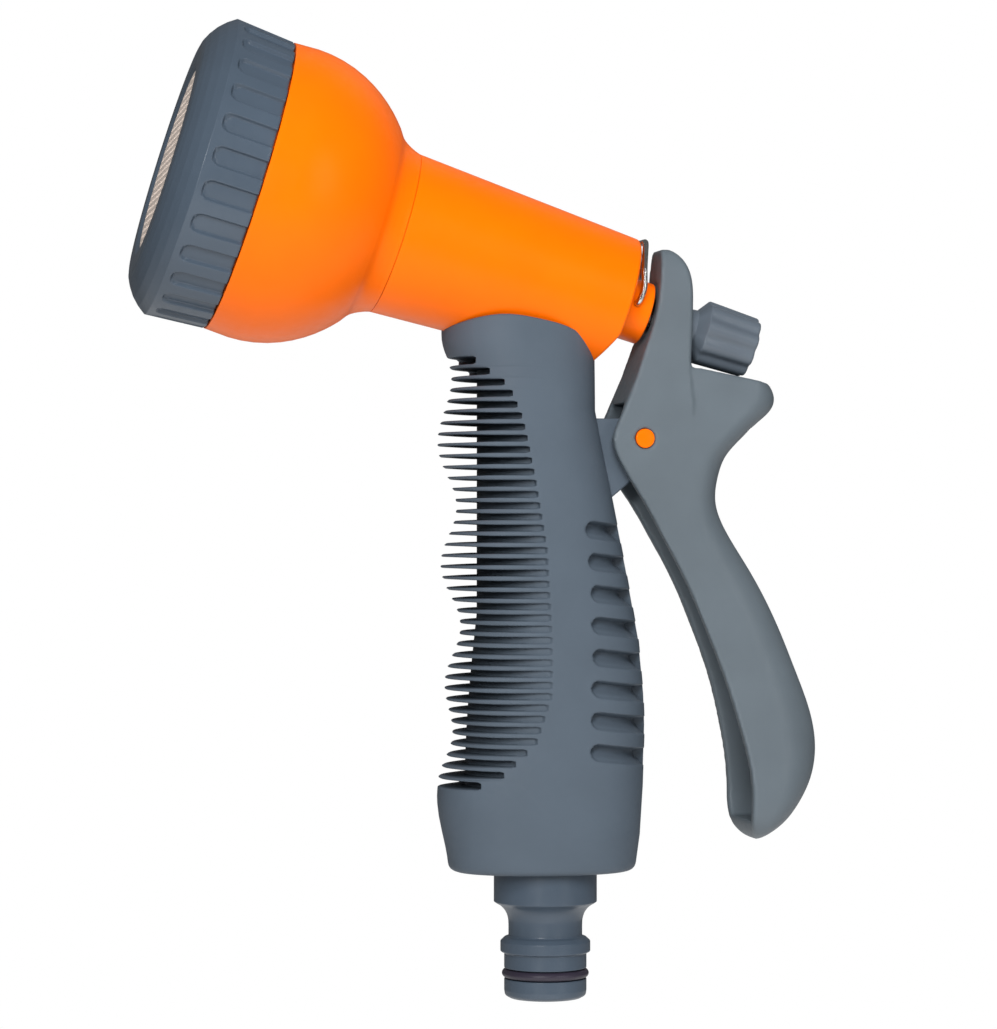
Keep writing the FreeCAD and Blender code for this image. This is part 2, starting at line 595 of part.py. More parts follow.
# Ends of the hollow, as sections of the outside before the wall is taken off.
HOLLOW_TOP = (117.5, 14.8, 30.0, 33.5, 7.8)
HOLLOW_BOTTOM = (34.8, 39.9, 43.0, 48.4, 9.8)


def lever_section(row, wall=0.0, opening=0.0):
    """D-shaped section: open or flat front, straight cheeks, elliptical back."""
    z, front, cheek, back, half = row
    front -= opening
    half -= wall
    back -= wall
    cheek = min(cheek, back - 0.6)
    a, b = V(front, -half, z), V(cheek, -half, z)
    c, d = V(cheek, half, z), V(front, half, z)
    steps = 8
    arc = []
    for i in range(steps + 1):
        angle = -math.pi / 2 + math.pi * i / steps
        arc.append(V(cheek + (back - cheek) * math.cos(angle), half * math.sin(angle), z))
    curve = Part.BSplineCurve()
    curve.interpolate(arc)
    return Part.Wire([Part.makeLine(a, b), curve.toShape(), Part.makeLine(c, d), Part.makeLine(d, a)])


def trigger_lever():
    """Squeeze lever: hollow handle open towards the grip, thumb spur, and a head with the stem's slot."""
    handle = Part.makeLoft([lever_section(row) for row in HANDLE], True, False)
    over_spur = extrude_side([(10, 128.5), (29.5, 124.6), (60, 118.5), (60, 140), (10, 140)], 20)
    handle = handle.cut(over_spur)
    head = Part.makeLoft([lever_section(row) for row in HEAD], True, False)
    hollow_rows = [HOLLOW_TOP] + [row for row in HANDLE if 40 < row[0] < 112] + [HOLLOW_BOTTOM]
    hollow = Part.makeLoft([lever_section(row, LEVER_WALL, 6.0) for row in hollow_rows], True, False)
    lever = handle.fuse(head).cut(hollow)
    stem_slot = stadium_cutter(STEM_R + 0.45, -1.3, 1.3, 70, 100)
    crown_s = WASHER_S[0] - 0.3 - CROWN_R
    crown = on_head(Part.makeCylinder(CROWN_R, 40, V(0, -20, crown_s), V(0, 1, 0)))
    washer_pocket = stadium_cutter(4.5, -0.2, 2.0, WASHER_S[0] - 1.6, 105).cut(crown)
    boss_seat = on_head(rod(GLAND_BOSS_R + 0.6, 70, GLAND_REAR_S + 0.45))
    pin_hole = Part.makeCylinder(PIN_R + PIN_CLEARANCE, 40, V(PIVOT.x, -20, PIVOT.z), V(0, 1, 0))
    return lever.cut([stem_slot, washer_pocket, boss_seat, pin_hole])


def stadium_cutter(radius, run_low, run_high, s_low, s_high):
    """Slot along the head axis, its round ends centred run_low below and run_high above the axis."""
    low_end = rod(radius, s_low, s_high)
    low_end.translate(V(run_low, 0, 0))
    high_end = rod(radius, s_low, s_high)
    high_end.translate(V(run_high, 0, 0))
    middle = Part.makeBox(run_high - run_low, 2 * radius, s_high - s_low, V(run_low, -radius, s_low))
    return on_head(low_end.fuse([high_end, middle]))


# ---------------------------------------------------------------- nipple
def hose_nipple():
    """Quick-connect nipple: nose with O-ring groove, flange, neck, collar and inner socket."""
    groove_low, groove_high = NIPPLE_RING_Z - 1.0, NIPPLE_RING_Z + 1.0
    groove_r = NIPPLE_RING_R - O_RING_WIRE_R
    waist = [(NECK_GROOVE_R, 0, 14.6), (NECK_GROOVE_R + 0.15, 0, 16.0), (8.1, 0, 17.6), (9.4, 0, 18.9),
             (COLLAR_R, 0, 19.3)]
    corners = [(INLET_BORE_R, 0, 0), (NOSE_R - 1.3, 0, 0), (NOSE_R - 0.35, 0, 0.45), (NOSE_R, 0, 1.4),
               (NOSE_R, 0, groove_low), (groove_r, 0, groove_low), (groove_r, 0, groove_high),
               (NOSE_R, 0, groove_high), (NOSE_R, 0, 8.9), (FLANGE_R, 0, 9.0), (FLANGE_R, 0, 11.4),
               (8.2, 0, 12.0), (NECK_GROOVE_R, 0, 12.4), waist[0]]
    edges = [line_edge(a, b) for a, b in zip(corners, corners[1:])]
    edges.append(spline_edge(waist))
    inside = [waist[-1], (COLLAR_R, 0, NIPPLE_TOP_Z), (PIPE_R, 0, NIPPLE_TOP_Z), (PIPE_R, 0, PIPE_BOTTOM_Z),
              (INLET_BORE_R, 0, PIPE_BOTTOM_Z), corners[0]]
    edges += [line_edge(a, b) for a, b in zip(inside, inside[1:])]
    return revolve_edges(edges)


def nipple_o_ring():
    return torus(NIPPLE_RING_R, O_RING_WIRE_R, NIPPLE_RING_Z)


PARTS = {
    "face_ring": face_ring,
    "spray_plate": spray_plate,
    "face_seal": face_seal,
    "diffuser_disc": diffuser_disc,
    "spray_bell": spray_bell,
    "barrel": barrel,
    "gland_nut": gland_nut,
    "gland_o_ring": gland_o_ring,
    "stem_o_ring": stem_o_ring,
    "valve_stem": valve_stem,
    "valve_head": valve_head,
    "valve_washer": valve_washer,
    "head_screw": head_screw,
    "return_spring": return_spring,
    "thrust_washer": thrust_washer,
    "flow_knob": flow_knob,
    "lock_bail": lock_bail,
    "grip_sleeve": grip_sleeve,
    "pivot_pin": pivot_pin,
    "trigger_lever": trigger_lever,
    "hose_nipple": hose_nipple,
    "nipple_o_ring": nipple_o_ring,
    "pipe_o_ring": pipe_o_ring,
}

os.makedirs("parts", exist_ok=True)
for name, build in PARTS.items():
    shape = build()
    solids = shape.Solids
    print(name, "solids", len(solids), "valid", shape.isValid(), "volume", round(shape.Volume, 1))
    if len(solids) == 1:
        shape = solids[0]
    shape.exportStep(os.path.join("parts", name + ".step"))
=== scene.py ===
import json
import math

import bmesh
import bpy
import numpy as np
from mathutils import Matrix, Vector


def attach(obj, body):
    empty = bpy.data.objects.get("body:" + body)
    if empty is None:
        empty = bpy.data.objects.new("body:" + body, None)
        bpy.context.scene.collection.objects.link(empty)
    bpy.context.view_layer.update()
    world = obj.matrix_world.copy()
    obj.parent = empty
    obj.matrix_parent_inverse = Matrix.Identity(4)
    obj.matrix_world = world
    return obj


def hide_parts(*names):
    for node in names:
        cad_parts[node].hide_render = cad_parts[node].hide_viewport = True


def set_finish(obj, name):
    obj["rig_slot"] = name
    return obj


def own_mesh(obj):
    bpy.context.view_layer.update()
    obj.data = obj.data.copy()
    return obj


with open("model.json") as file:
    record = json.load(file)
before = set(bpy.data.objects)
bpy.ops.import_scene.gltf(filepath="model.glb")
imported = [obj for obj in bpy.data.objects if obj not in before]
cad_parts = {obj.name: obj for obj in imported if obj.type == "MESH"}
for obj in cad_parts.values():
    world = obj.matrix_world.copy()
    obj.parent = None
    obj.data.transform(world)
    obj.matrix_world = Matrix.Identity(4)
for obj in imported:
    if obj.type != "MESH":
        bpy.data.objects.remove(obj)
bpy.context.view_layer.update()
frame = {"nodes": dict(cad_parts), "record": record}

# Pistol-grip hose nozzle. Lengths below are millimetres; meshes are made in metres.
# The head's pieces are drawn about one tilted axis: s grows rearward along it from the ring's rear edge,
# "up" and "side" are the distances from it.
MM = 0.001

# ---------------------------------------------------------------- driving dimensions
HEAD_ORIGIN = np.array([-59.0, 0.0, 159.6])
HEAD_TILT = math.radians(17.0)
HEAD_AXIS = np.array([math.cos(HEAD_TILT), 0, -math.sin(HEAD_TILT)])
HEAD_UP = np.array([math.sin(HEAD_TILT), 0, math.cos(HEAD_TILT)])
HEAD_SIDE = np.array([0.0, 1.0, 0.0])

RING_FLUTES = 28
BARREL_S = (30.0, 77.0)
BARREL_R = (16.2, 13.65)
CORNER_CUT_UP = -6.8                  # where the cut-back of the barrel's lower rear corner starts
CORNER_CUT_SLOPE = 0.42

# Front of the grip at its crests and troughs: z, x.
FRONT_WAVE = [(136, -20.6), (131, -20.6), (122.5, -18.6), (109.6, -21.4), (97.0, -17.6), (85.6, -20.8),
              (73.5, -16.8), (62.0, -20.0), (52.5, -18.4), (41.9, -21.4), (40.0, -21.5), (24.5, -19.2)]
# Back edge and half width of the grip: z, x, half width.
REAR_EDGE = [(136, 9.4, 13.3), (116, 9.6, 13.6), (99.2, 13.0, 13.9), (84.9, 15.9, 14.2), (70.6, 18.5, 14.5),
             (60, 19.5, 14.7), (53.9, 19.7, 14.8), (41.9, 19.3, 14.9), (32.4, 18.7, 14.6), (24.5, 17.6, 14.0)]
# Where the front grooves end on the sides: z, x.
GROOVE_END = [(126.6, -16.5), (124.7, -14.6), (120.4, -9.4), (113.9, -6.9), (101.5, -4.3), (88.5, -2.1),
              (71.2, -1.2), (60.5, -1.2), (51.2, -4.3), (44.5, -11.1), (42.0, -16.5)]
# Top edge of the grip against the barrel: x, z.
SADDLE = [(-20.6, 131.9), (-15.1, 133.8), (-9.5, 134.5), (-3.1, 133.6), (3.0, 132.0), (6.8, 129.6),
          (9.6, 125.2)]

GRIP_BOTTOM_Z = 25.2
GRIP_FULLNESS = 0.88                  # exponent of the grip's section; 1 would be an ellipse
FIN_BOTTOM_Z = 42.0
FIN_COUNT = 39
FIN_PITCH = 2.18
FIN_GAP = 1.23
FIN_TAPER = 0.2                       # how much each side of a fin slopes towards its tip
FIN_TIP_X = -20.5
PLAIN_ROW = 9.0                       # stands for the offset from a groove in rows that cross none
GRIP_CORE_FRONT = -13.6
GRIP_CORE_CENTRE = 1.0
POCKET_COUNT = 8
POCKET_TOP_Z = 92.5
POCKET_PITCH = 6.19
POCKET_R = 1.65
POCKET_DEPTH = 2.4                    # at the upper edge; the floor rises towards the lower edge
POCKET_FRONT_X = 7.0
POCKET_SHIFT = (-1.5, -0.9, -0.5, -0.4, -0.2, -0.4, -0.6, -0.7)  # of each front end, from the top pocket
POCKET_TILT = math.radians(7.0)
POCKET_SPINE_Y = (2.1, 2.7)           # the plain spine between the pockets, and where they are fully deep

PIVOT_X = 18.3
PIVOT_Z = 110.5
PIVOT_R = 1.9
PIPE_SOCKET_Z = 26.2                  # where the inlet pipe ends in the nipple
NIPPLE_BORE_R = 4.75

CAMERA_YAW = 10.8                     # degrees, towards the spraying side


# ---------------------------------------------------------------- mesh helpers
def on_head(up, side, s):
    """Point of the row frame, in millimetres, from head coordinates."""
    return HEAD_ORIGIN + HEAD_UP * up + HEAD_SIDE * side + HEAD_AXIS * s


def upright(x, y, z):
    """Point about the vertical axis of the nipple and the inlet pipe."""
    return np.array([x, y, z])


def make_piece(name, points, faces, body, slot, nodes=()):
    """Mesh object from millimetre points, smooth shaded, riding on a CAD body."""
    weld = 1e-7
    mesh = bpy.data.meshes.new(name)
    mesh.from_pydata([tuple(float(c) * MM for c in p) for p in points], [], faces)
    bm = bmesh.new()
    bm.from_mesh(mesh)
    bmesh.ops.remove_doubles(bm, verts=bm.verts, dist=weld)
    bmesh.ops.dissolve_degenerate(bm, edges=bm.edges, dist=weld)
    bmesh.ops.recalc_face_normals(bm, faces=bm.faces)
    bm.to_mesh(mesh)
    bm.free()
    mesh.polygons.foreach_set("use_smooth", [True] * len(mesh.polygons))
    piece = bpy.data.objects.new(name, mesh)
    bpy.context.scene.collection.objects.link(piece)
    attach(piece, body)
    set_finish(piece, slot)
    if nodes:
        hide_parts(*nodes)
    weighted = piece.modifiers.new("weighted_normals", "WEIGHTED_NORMAL")
    weighted.mode = "FACE_AREA"
    weighted.weight = 60
    return piece


def skin(loops):
    """Quads between neighbouring closed loops that all have the same number of points."""
    count = len(loops[0])
    faces = []
    for j in range(len(loops) - 1):
        a = j * count
        b = (j + 1) * count
        for i in range(count):
            k = (i + 1) % count
            faces.append((a + i, a + k, b + k, b + i))
    return faces


def lathe(profile_at, angles, place):
    """Points and faces of a turned skin; profile_at(angle) gives (r, s) points, as many at each angle."""
    columns = []
    for angle in angles:
        columns.append([place(r * math.cos(angle), r * math.sin(angle), s) for r, s in profile_at(angle)])
    rows = len(columns[0])
    points = [p for column in columns for p in column]
    faces = []
    count = len(columns)
    for i in range(count):
        k = (i + 1) % count
        for j in range(rows - 1):
            faces.append((i * rows + j, i * rows + j + 1, k * rows + j + 1, k * rows + j))
    return points, faces


def even_angles(count):
    return [2 * math.pi * i / count for i in range(count)]


def rounded(corners, steps=5):
    """Open polyline of (r, s, radius) corners; every inner corner becomes an arc of steps + 1 points."""
    path = [corners[0][:2]]
    for before, corner, after in zip(corners, corners[1:], corners[2:]):
        p = np.array(corner[:2], float)
        into = np.array(before[:2], float) - p
        out = np.array(after[:2], float) - p
        length_in = np.linalg.norm(into)
        length_out = np.linalg.norm(out)
        if corner[2] == 0 or length_in < 1e-6 or length_out < 1e-6:
            path.extend([tuple(p)] * (steps + 1 if corner[2] else 1))
            continue
        into /= length_in
        out /= length_out
        half = math.acos(max(-1.0, min(1.0, float(into @ out)))) / 2
        reach = min(corner[2] / math.tan(max(half, 1e-3)), 0.45 * length_in, 0.45 * length_out)
        start, end = p + into * reach, p + out * reach
        for i in range(steps + 1):
            t = i / steps
            path.append(tuple(start * (1 - t) ** 2 + p * 2 * t * (1 - t) + end * t * t))
    path.append(corners[-1][:2])
    return path


def spline(points, steps):
    """Catmull-Rom curve through 2-D points."""
    p = [np.array(q, float) for q in points]
    p = [2 * p[0] - p[1]] + p + [2 * p[-1] - p[-2]]
    path = []
    for a, b, c, d in zip(p, p[1:], p[2:], p[3:]):
        for i in range(steps):
            t = i / steps
            path.append(tuple(0.5 * (2 * b + (c - a) * t + (2 * a - 5 * b + 4 * c - d) * t * t
                                     + (3 * b - a - 3 * c + d) * t ** 3)))
    path.append(tuple(p[-2]))
    return path


def smoothstep(low, high, value):
    t = min(1.0, max(0.0, (value - low) / (high - low)))
    return t * t * (3 - 2 * t)


def interpolate(table, z, cosine=False):
    """Other columns of a table sorted by falling z, with straight or cosine blending between its rows."""
    if z >= table[0][0]:
        return table[0][1:]
    for high, low in zip(table, table[1:]):
        if z >= low[0]:
            t = (high[0] - z) / (high[0] - low[0])
            if cosine:
                t = (1 - math.cos(math.pi * t)) / 2
            return tuple(a + (b - a) * t for a, b in zip(high[1:], low[1:]))
    return table[-1][1:]


# ---------------------------------------------------------------- materials
def new_material(name):
    material = bpy.data.materials.new(name)
    material.use_nodes = True
    tree = material.node_tree
    return material, tree, tree.nodes["Principled BSDF"]


def noise(tree, scale, detail=2.0, roughness=0.5):
    """Noise in object space; scale is the number of features per metre."""
    place = tree.nodes.new("ShaderNodeTexCoord")
    texture = tree.nodes.new("ShaderNodeTexNoise")
    texture.inputs["Scale"].default_value = scale
    texture.inputs["Detail"].default_value = detail
    texture.inputs["Roughness"].default_value = roughness
    tree.links.new(place.outputs["Object"], texture.inputs["Vector"])
    return texture.outputs["Fac"]


def map_range(tree, value, low, high):
    node = tree.nodes.new("ShaderNodeMapRange")
    node.inputs["From Min"].default_value = 0.3
    node.inputs["From Max"].default_value = 0.7
    node.inputs["To Min"].default_value = low
    node.inputs["To Max"].default_value = high
    tree.links.new(value, node.inputs["Value"])
    return node.outputs["Result"]


def varied_colour(tree, value, colour, spread):
    """Colour that drifts a little darker and lighter with value."""
    ramp = tree.nodes.new("ShaderNodeValToRGB")
    ramp.color_ramp.elements[0].position = 0.3
    ramp.color_ramp.elements[1].position = 0.7
    ramp.color_ramp.elements[0].color = (*[c * (1 - spread) for c in colour], 1)
    ramp.color_ramp.elements[1].color = (*[min(1, c * (1 + spread)) for c in colour], 1)
    tree.links.new(value, ramp.inputs["Fac"])
    return ramp.outputs["Color"]


def moulded_plastic(name, colour, roughness, grain=5200, grain_height=0.000012, spread=0.05, specular=0.5,
                    tint=(1.0, 1.0, 1.0)):
    """Spark-eroded moulding: fine grain, slow drift of colour and gloss."""
    material, tree, shader = new_material(name)
    drift = noise(tree, 90, detail=3)
    tree.links.new(varied_colour(tree, drift, colour, spread), shader.inputs["Base Color"])
    fine = noise(tree, grain, detail=3, roughness=0.6)
    gloss = map_range(tree, noise(tree, 700), roughness - 0.04, roughness + 0.05)
    tree.links.new(gloss, shader.inputs["Roughness"])
    bump = tree.nodes.new("ShaderNodeBump")
    bump.inputs["Strength"].default_value = 0.35
    bump.inputs["Distance"].default_value = grain_height
    tree.links.new(fine, bump.inputs["Height"])
    tree.links.new(bump.outputs["Normal"], shader.inputs["Normal"])
    shader.inputs["Specular IOR Level"].default_value = specular
    shader.inputs["Specular Tint"].default_value = tint + (1.0,)
    return material


def metal(name, colour, roughness):
    material, tree, shader = new_material(name)
    shader.inputs["Metallic"].default_value = 1.0
    tree.links.new(varied_colour(tree, noise(tree, 400, detail=4), colour, 0.08), shader.inputs["Base Color"])
    gloss = map_range(tree, noise(tree, 2500), roughness - 0.06, roughness + 0.08)
    tree.links.new(gloss, shader.inputs["Roughness"])
    return material


def make_materials():
    """One material for each slot of the record, and a lighter grey for the knob."""
    return {
        "bell_orange": moulded_plastic("orange_plastic", (0.93, 0.145, 0.0), 0.36, spread=0.03, specular=0.35,
                                       tint=(1.0, 0.65, 0.35)),
        "ring_grey": moulded_plastic("ring_plastic", (0.052, 0.072, 0.098), 0.34, grain_height=0.000008),
        "lobed_knob": moulded_plastic("knob_plastic", (0.088, 0.108, 0.132), 0.38, grain_height=0.000008),
        "grip_grey": moulded_plastic("grip_rubber", (0.070, 0.091, 0.116), 0.55, grain=4200,
                                     grain_height=0.00002, specular=0.3),
        "lever_grey": moulded_plastic("lever_plastic", (0.098, 0.120, 0.138), 0.46, grain_height=0.000014,
                                      specular=0.4),
        "plate_grey": moulded_plastic("plate_plastic", (0.8, 0.68, 0.6), 0.45),
        "black_rubber": moulded_plastic("seal_rubber", (0.026, 0.021, 0.034), 0.42, grain=2500, spread=0.1),
        "steel": metal("bright_steel", (0.72, 0.7, 0.68), 0.2),
        "white_plastic": moulded_plastic("white_plastic", (0.72, 0.72, 0.69), 0.4),
    }


def paint(obj, material):
    obj.data.materials.clear()
    obj.data.materials.append(material)
    obj.data.polygons.foreach_set("material_index", [0] * len(obj.data.polygons))


# ---------------------------------------------------------------- shower head
def ring_piece():
    """Screw ring: ribbed skirt with round-ended flutes, bevelled front, lip round the plate."""
    pitch_angle = 2 * math.pi / RING_FLUTES
    skirt_r = (30.0, 29.1)            # at the bevel and at the rear edge
    thread_r, opening_r = 27.1, 18.6
    bevel_s, lip_s, rear_s = -11.9, -14.1, -0.15
    flute_half, flute_depth = 1.9, 0.78
    flute_front = bevel_s + 1.25
    flute_centre_s = flute_front + flute_half
    # across one flute: from the middle of a land, over the flute, to the next land
    across = [-3.2, -2.5, -2.15, -2.0, -1.88, -1.74, -1.58, -1.35, -0.7, 0, 0.7, 1.35, 1.58, 1.74, 1.88,
              2.0, 2.15, 2.5]
    land_pitch = pitch_angle * 29.6
    rows = [rear_s - 0.25, -0.8, -2, -3.5, -5, -6.5, -7.8, flute_centre_s]
    round_end = (0.25, 0.42, 0.55, 0.66, 0.75, 0.82, 0.89, 0.95, 1.0, 1.06)
    rows += [flute_centre_s - flute_half * t for t in round_end]
    rows += [flute_front - 0.35, bevel_s + 0.6, bevel_s + 0.25]
    angles, offsets = [], []
    for i in range(RING_FLUTES):
        for w in across:
            angles.append(pitch_angle * (i + w / land_pitch))
            offsets.append(w)
    offset_at = dict(zip(angles, offsets))

    def skirt_radius(s):
        t = (s - bevel_s) / (0 - bevel_s)
        return skirt_r[0] + (skirt_r[1] - skirt_r[0]) * t

    def profile(angle):
        w = offset_at[angle]
        rear_r = skirt_radius(rear_s) - flute_cut(w, rear_s)
        path = [(thread_r, rear_s), (rear_r - 0.25, rear_s), (rear_r - 0.07, rear_s - 0.07)]
        for s in rows:
            path.append((skirt_radius(s) - flute_cut(w, s), s))
        # A crisp crease, the slightly crowned bevel, the front lip and the inside.
        front = [(30.0, bevel_s + 0.12, 0), (29.96, bevel_s, 0.12), (28.8, -13.5, 2.0), (27.4, -14.9, 2.0),
                 (25.8, -16.0, 1.5), (24.4, -16.7, 1.0), (23.2, -16.98, 0.6), (19.4, -16.98, 0.4),
                 (opening_r, -16.3, 0.3), (opening_r, lip_s, 0), (thread_r, lip_s, 0), (thread_r, rear_s, 0)]
        return path + rounded(front)

    def flute_cut(w, s):
        distance = abs(w) if s > flute_centre_s else math.hypot(w, flute_centre_s - s)
        return flute_depth * (1 - smoothstep(flute_half - 0.3, flute_half + 0.1, distance))

    points, faces = lathe(profile, angles, on_head)
    return make_piece("ring_with_flutes", points, faces, "ring", "ring_grey", ["face_ring"])


def plate_piece():
    """Perforated disc: a raised middle in the ring's opening, with fine holes on a triangular grid."""
    crown_r, rim_r = 18.3, 26.9
    front, step, rear = -16.4, -14.0, -12.9
    outline = rounded([(0, front, 0), (crown_r, front, 0.35), (crown_r, step, 0.1), (rim_r, step, 0.1),
                       (rim_r, rear, 0.1), (0, rear, 0)])
    points, faces = lathe(lambda angle: outline, even_angles(96), on_head)
    plate = make_piece("perforated_plate", points, faces, "spray_face", "plate_grey", ["spray_plate"])
    pitch, hole_r, sides = 1.75, 0.42, 8
    plain_edge, overshoot = 1.3, 1
    drill_points, drill_faces = [], []
    reach = int(crown_r / pitch) + 2
    for row in range(-reach, reach + 1):
        for column in range(-reach, reach + 1):
            up = row * pitch * math.sqrt(3) / 2
            side = (column + (row % 2) / 2) * pitch
            if math.hypot(up, side) > crown_r - plain_edge:
                continue
            first = len(drill_points)
            for s in (front - overshoot, rear + overshoot):
                for a in even_angles(sides):
                    drill_points.append(on_head(up + hole_r * math.cos(a), side + hole_r * math.sin(a), s))
            for i in range(sides):
                k = (i + 1) % sides
                drill_faces.append((first + i, first + k, first + sides + k, first + sides + i))
            drill_faces.append(tuple(first + i for i in range(sides))[::-1])
            drill_faces.append(tuple(first + sides + i for i in range(sides)))
    cut_with(plate, drill_points, drill_faces)
    return plate


def cut_with(piece, points, faces):
    """Subtracts a closed mesh, given in millimetres, from a piece and keeps the result as its mesh."""
    mesh = bpy.data.meshes.new("cutter")
    mesh.from_pydata([tuple(float(c) * MM for c in p) for p in points], [], faces)
    bm = bmesh.new()
    bm.from_mesh(mesh)
    bmesh.ops.recalc_face_normals(bm, faces=bm.faces)
    bm.to_mesh(mesh)
    bm.free()
    cutter = bpy.data.objects.new("cutter", mesh)
    bpy.context.scene.collection.objects.link(cutter)
    boolean = piece.modifiers.new("cut", "BOOLEAN")
    boolean.operation = "DIFFERENCE"
    boolean.solver = "EXACT"
    boolean.object = cutter
    keep_modified_mesh(piece)
    bpy.data.objects.remove(cutter)


def keep_modified_mesh(piece):
    """Replaces the piece's mesh with what its modifiers make of it, and drops the modifiers."""
    bpy.context.view_layer.update()
    graph = bpy.context.evaluated_depsgraph_get()
    made = bpy.data.meshes.new_from_object(piece.evaluated_get(graph))
    piece.modifiers.clear()
    piece.data = made
    made.name = piece.name


def bell_piece():
    """Thin bell: widest behind the ring, flowing through a hollow curve into the neck."""
    bulge_s, bulge_r, length, wall = 5.0, 29.35, 26.8, 2.4
    thread_r, bore_r, bore_front_s, diffuser_s = 27.0, 24.6, -12.0, -3.5
    neck_rear_s, neck_bore_r = 29.92, 14.2

    def bell_radius(s):
        reach = (s - bulge_s) / length
        return bulge_r * math.sqrt(max(0.0, 1 - reach * reach))

    outer = [(bell_radius(s), s) for s in (5, 7.5, 10, 12.5, 15, 17, 19, 20.8, 22.4, 23.6, 24.6)]
    neck = spline([outer[-1], (18.3, 25.9), (17.3, 27.3), (16.6, 28.8), (16.3, 29.7)], 5)
    inner = [(bell_radius(s) - wall, s) for s in (26, 23, 19, 13, 5)]
    path = rounded([(bore_r, bore_front_s, 0), (thread_r, bore_front_s, 0.3), (thread_r, 0.05, 0.1),
                    (29.1, 0.05, 0.08), outer[0] + (0,)])
    path += outer[1:-1] + neck + [(16.25, 29.88), (16.2, neck_rear_s), (neck_bore_r, neck_rear_s)] + inner
    path += [(23.8, diffuser_s), (bore_r, diffuser_s), (bore_r, bore_front_s)]
    points, faces = lathe(lambda angle: path, even_angles(160), on_head)
    return make_piece("bell", points, faces, "nozzle_body", "bell_orange", ["spray_bell"])


# ---------------------------------------------------------------- barrel and spring
def barrel_radius(s):
    t = (s - BARREL_S[0]) / (BARREL_S[1] - BARREL_S[0])
    return BARREL_R[0] + (BARREL_R[1] - BARREL_R[0]) * t


def barrel_piece():
    """Tapered barrel with a rounded rear rim, its lower rear corner cut back, and the inlet pipe below."""
    chamber_r, seat_s = 9.3, 49.0
    port_r, port_front_s = 5.0, 46.0
    spigot_r, spigot_front_s = 14.2, 21.5
    outlet_r, outlet_rear_s = 11.5, 42.0
    pipe_r, pipe_bore_r, pipe_top_z = 8.0, 5.0, 129.0

    def rear_limit(up):
        return BARREL_S[1] + min(0.0, CORNER_CUT_SLOPE * (up - CORNER_CUT_UP))

    def profile(angle):
        c = math.cos(angle)
        rim_s = rear_limit(barrel_radius(BARREL_S[1] - 1) * c)
        chamber_s = rear_limit(chamber_r * c)
        middle_r = (barrel_radius(rim_s) + chamber_r) / 2
        corners = [(spigot_r, spigot_front_s, 0), (spigot_r, BARREL_S[0], 0.1), (BARREL_R[0], BARREL_S[0], 0.1),
                   (barrel_radius(rim_s), rim_s, 0.7), (middle_r, rear_limit(middle_r * c), 0.5),
                   (chamber_r, chamber_s, 0.15), (chamber_r, seat_s, 0.1), (port_r, seat_s, 0.1),
                   (port_r, port_front_s, 0.1), (outlet_r, outlet_rear_s, 0.1),
                   (outlet_r, spigot_front_s, 0.1), (spigot_r, spigot_front_s, 0)]
        return rounded(corners)

    points, faces = lathe(profile, even_angles(160), on_head)
    pipe = rounded([(pipe_bore_r, PIPE_SOCKET_Z, 0), (pipe_r, PIPE_SOCKET_Z, 0.2), (pipe_r, pipe_top_z, 0.1),
                    (pipe_bore_r, pipe_top_z, 0.1), (pipe_bore_r, PIPE_SOCKET_Z, 0)])
    pipe_points, pipe_faces = lathe(lambda angle: pipe, even_angles(48), upright)
    first = len(points)
    faces += [tuple(first + i for i in face) for face in pipe_faces]
    return make_piece("barrel_body", points + pipe_points, faces, "nozzle_body", "bell_orange", ["barrel"])


def spring_piece():
    """The CAD spring, copied as a fixed piece on the nozzle body; the real one shortens towards the gland nut
    as the valve head comes back.
    """
    piece = bpy.data.objects.new("coil_spring", frame["nodes"]["return_spring"].data.copy())
    bpy.context.scene.collection.objects.link(piece)
    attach(piece, "nozzle_body")
    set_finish(piece, "steel")
    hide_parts("return_spring")
    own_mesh(piece)
    return piece


# ---------------------------------------------------------------- flow knob
def knob_piece():
    """Lobed knob, slightly narrower to the rear, with a chamfered nose and rounded rear edge."""
    flutes, depth = 9, 0.7
    bore_r, front_s, rear_s = 2.25, 91.3, 105.5

    def lobe(angle):
        """0 on a lobe's crest, 1 in the middle of a flute."""
        return (0.5 - 0.5 * math.cos(angle * flutes)) ** 1.6

    def profile(angle):
        dip = depth * lobe(angle)
        body = [(6.5, 94.8), (6.42, 97.5), (6.28, 101.0), (6.12, 104.6)]
        outer = [(r - dip * min(1.0, (s - 93.6) / 2.2), s) for r, s in body]
        corners = [(bore_r, front_s, 0), (3.85, front_s, 0.2), (4.0, 92.9, 0.2), outer[0] + (0.45,),
                   outer[1] + (0,), outer[2] + (0,), (outer[3][0], rear_s, 0.7), (bore_r, 105.35, 0.3),
                   (bore_r, front_s, 0)]
        return rounded(corners, 6)

    points, faces = lathe(profile, even_angles(180), on_head)
    return make_piece("lobed_knob", points, faces, "knob", "ring_grey", ["flow_knob"])


# ---------------------------------------------------------------- grip
def grip_outline(z):
    """Front and rear x, half width and centre x of the grip's section at height z."""
    front = interpolate(FRONT_WAVE, z, cosine=True)[0]
    rear, half = interpolate(REAR_EDGE, z)
    centre = 0.45 * front + 0.55 * rear - 0.8
    return front, rear, half, centre


def side_angle(z, x):
    """Angle from the front, 0 to pi, at which the grip's outline at height z has this x."""
    front, rear, half, centre = grip_outline(z)
    reach = rear - centre if x > centre else centre - front
    c = min(1.0, abs(x - centre) / reach) ** (1 / GRIP_FULLNESS)
    return math.pi - math.acos(c) if x > centre else math.acos(c)


